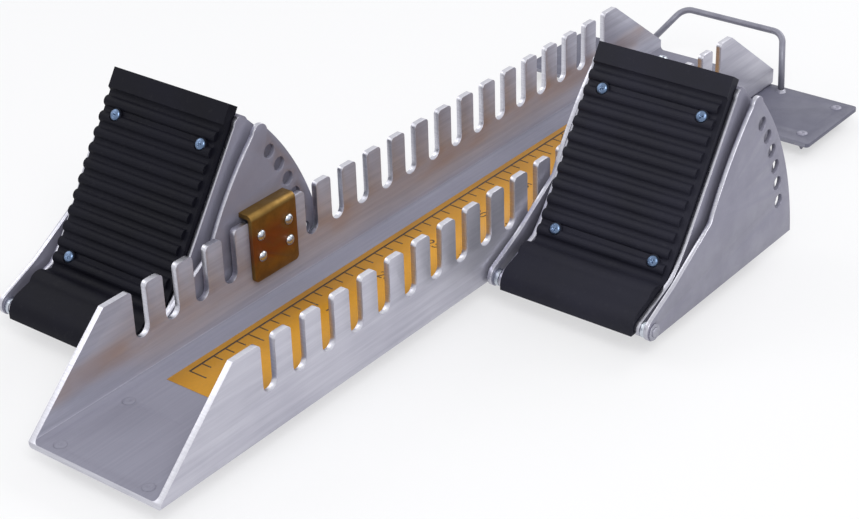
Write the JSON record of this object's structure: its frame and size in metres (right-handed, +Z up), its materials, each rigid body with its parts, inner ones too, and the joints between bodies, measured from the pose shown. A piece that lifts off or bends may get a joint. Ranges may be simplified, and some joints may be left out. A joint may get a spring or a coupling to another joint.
{
  "type": "starting blocks",
  "caption": "Sprinter's starting blocks: slotted rail with a scale, anchor plate with a carrying handle, and hook-on pedals that tilt on a toe axle.",
  "frame": {"origin": "centre of the rail's underside", "axes": "+Y along the rail towards the anchor plate and the handle, +X across it to the right-hand pedal, +Z up"},
  "size_m": [0.346, 0.6784, 0.1435],
  "materials": {
    "rail": "mill finish, drawn lengthwise",
    "tape": "printed film",
    "plated_steel": "zinc plated",
    "anchor_steel": "satin grey",
    "cheek_steel": "satin grey",
    "yellow_zinc": "yellow passivated zinc",
    "rubber": "moulded, semi-matt",
    "spring_steel": "bright"
  },
  "bodies": {
    "rail": {"rail_channel": "rail", "scale_tape": "tape", "front_spikes": "plated_steel", "anchor_plate": "anchor_steel", "rear_spikes": "plated_steel", "plate_bolts": "plated_steel", "plate_nuts": "plated_steel", "carry_handle": "anchor_steel"},
    "left_frame": {"left_frame_cheek_rail": "cheek_steel", "left_frame_cheek_far": "cheek_steel", "left_frame_base": "cheek_steel", "left_toe_axle": "plated_steel", "left_axle_clips": "plated_steel", "left_axle_washers": "plated_steel", "left_hook_bracket": "yellow_zinc", "left_hook_lugs": "plated_steel", "left_hook_rivets": "plated_steel"},
    "left_foot": {"left_foot_plate": "cheek_steel", "left_rubber_pad": "rubber", "left_pad_screws": "plated_steel", "left_pad_nuts": "plated_steel", "left_lock_sleeves": "plated_steel", "left_lock_spring": "spring_steel"},
    "left_far_pin": {"left_lock_pin_far": "plated_steel"},
    "left_rail_pin": {"left_lock_pin_rail": "plated_steel"},
    "right_frame": {"right_frame_cheek_rail": "cheek_steel", "right_frame_cheek_far": "cheek_steel", "right_frame_base": "cheek_steel", "right_toe_axle": "plated_steel", "right_axle_clips": "plated_steel", "right_axle_washers": "plated_steel", "right_hook_bracket": "yellow_zinc", "right_hook_lugs": "plated_steel", "right_hook_rivets": "plated_steel"},
    "right_foot": {"right_foot_plate": "cheek_steel", "right_rubber_pad": "rubber", "right_pad_screws": "plated_steel", "right_pad_nuts": "plated_steel", "right_lock_sleeves": "plated_steel", "right_lock_spring": "spring_steel"},
    "right_far_pin": {"right_lock_pin_far": "plated_steel"},
    "right_rail_pin": {"right_lock_pin_rail": "plated_steel"}
  },
  "joints": [
    {"name": "left_lift", "type": "slide", "parent": "rail", "child": "left_frame", "axis": [0, 0, 1], "range_m": [0, 0.06]},
    {"name": "left_tilt", "type": "hinge", "parent": "left_frame", "child": "left_foot", "pos_m": [-0.1125, -0.232, 0.006], "axis": [1, 0, 0], "range_deg": [0, 27.5]},
    {"name": "left_far_pin_slide", "type": "slide", "parent": "left_foot", "child": "left_far_pin", "axis": [-1, 0, 0], "range_m": [0, 0.0045], "stiffness_N_per_m": 400, "springref_m": 0.009},
    {"name": "left_rail_pin_slide", "type": "slide", "parent": "left_foot", "child": "left_rail_pin", "axis": [1, 0, 0], "range_m": [0, 0.0045], "stiffness_N_per_m": 400, "springref_m": 0.009},
    {"name": "right_lift", "type": "slide", "parent": "rail", "child": "right_frame", "axis": [0, 0, 1], "range_m": [0, 0.06]},
    {"name": "right_tilt", "type": "hinge", "parent": "right_frame", "child": "right_foot", "pos_m": [0.1125, -0.032, 0.006], "axis": [1, 0, 0], "range_deg": [0, 27.5]},
    {"name": "right_far_pin_slide", "type": "slide", "parent": "right_foot", "child": "right_far_pin", "axis": [1, 0, 0], "range_m": [0, 0.0045], "stiffness_N_per_m": 400, "springref_m": 0.009},
    {"name": "right_rail_pin_slide", "type": "slide", "parent": "right_foot", "child": "right_rail_pin", "axis": [-1, 0, 0], "range_m": [0, 0.0045], "stiffness_N_per_m": 400, "springref_m": 0.009}
  ],
  "couplings": [
    {"joint": "left_rail_pin_slide", "follows": "left_far_pin_slide", "ratio": 1},
    {"joint": "right_rail_pin_slide", "follows": "right_far_pin_slide", "ratio": 1}
  ]
}
